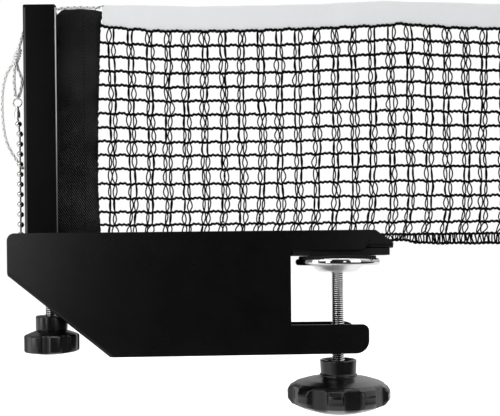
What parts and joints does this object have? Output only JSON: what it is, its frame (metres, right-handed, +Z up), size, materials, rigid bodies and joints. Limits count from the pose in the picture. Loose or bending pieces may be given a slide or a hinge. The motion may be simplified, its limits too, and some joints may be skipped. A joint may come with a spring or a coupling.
{
  "type": "table tennis net clamp",
  "caption": "Screw clamp with a sheet-steel bracket, a height-adjustable post, a ball chain and cord for tension, and the start of the net it holds.",
  "frame": {"origin": "on the edge stop at the back of the throat, level with the playing surface, in the middle of the bracket's depth", "axes": "+X into the table, along the net; +Y away from the viewer of the picture; +Z up"},
  "size_m": [0.3349, 0.063, 0.2488],
  "materials": {
    "powder_coat": "satin, fine texture",
    "jaw_rubber": "matte, ribbed",
    "zinc_steel": "satin",
    "chrome": "polished",
    "chain_nickel": "polished",
    "knob_plastic": "semi-gloss",
    "net_yarn": "knotted yarn, matte",
    "net_twill": "twill weave, matte",
    "tape_weave": "plain weave, matte",
    "cord_white": "braided, matte"
  },
  "bodies": {
    "bracket": {"front_plate": "powder_coat", "rear_plate": "powder_coat", "jaw_channel": "powder_coat", "jaw_pad": "jaw_rubber", "edge_stop": "powder_coat", "arm_channel": "powder_coat", "clamp_nut": "zinc_steel", "height_block": "zinc_steel", "post_guide_outer": "powder_coat", "post_guide_inner": "powder_coat"},
    "post": {"post": "powder_coat", "post_foot": "zinc_steel", "rod_hanger": "zinc_steel", "net_rod": "zinc_steel", "chain_catch": "zinc_steel", "ball_chain": "chain_nickel", "bell_coupling": "chain_nickel", "cord_ring": "chain_nickel", "ring_hitch": "cord_white", "draw_cord": "cord_white", "loop_cord": "cord_white", "tail_cord": "cord_white", "cord_knot": "cord_white", "end_knot": "cord_white", "net_sleeve": "net_twill", "net_mesh": "net_yarn", "net_tape": "tape_weave", "net_hem": "net_yarn", "far_sleeve": "net_twill"},
    "height_screw": {"height_screw": "zinc_steel", "height_clip": "zinc_steel", "height_knob": "knob_plastic"},
    "foot": {"pressure_disc": "chrome", "disc_pad": "jaw_rubber", "swivel_cup": "chrome"},
    "clamp_screw": {"clamp_screw": "chrome", "clamp_insert": "zinc_steel", "clamp_knob": "knob_plastic"}
  },
  "joints": [
    {"name": "post_height", "type": "slide", "parent": "bracket", "child": "post", "axis": [0, 0, 1], "range_m": [-0.00135, 0.0026]},
    {"name": "height_screw_turn", "type": "hinge", "parent": "post", "child": "height_screw", "pos_m": [-0.14735, 0, -0.02], "axis": [0, 0, 1], "range_deg": [-373, 718]},
    {"name": "foot_travel", "type": "slide", "parent": "bracket", "child": "foot", "axis": [0, 0, 1], "range_m": [-0.031, 0]},
    {"name": "clamp_screw_turn", "type": "hinge", "parent": "foot", "child": "clamp_screw", "pos_m": [0.0294, 0, -0.04], "axis": [0, 0, 1], "range_deg": [-8920, 0]}
  ],
  "couplings": [
    {"joint": "post_height", "follows": "height_screw_turn", "m_per_rad": 0.00019894},
    {"joint": "foot_travel", "follows": "clamp_screw_turn", "m_per_rad": 0.00019894}
  ]
}
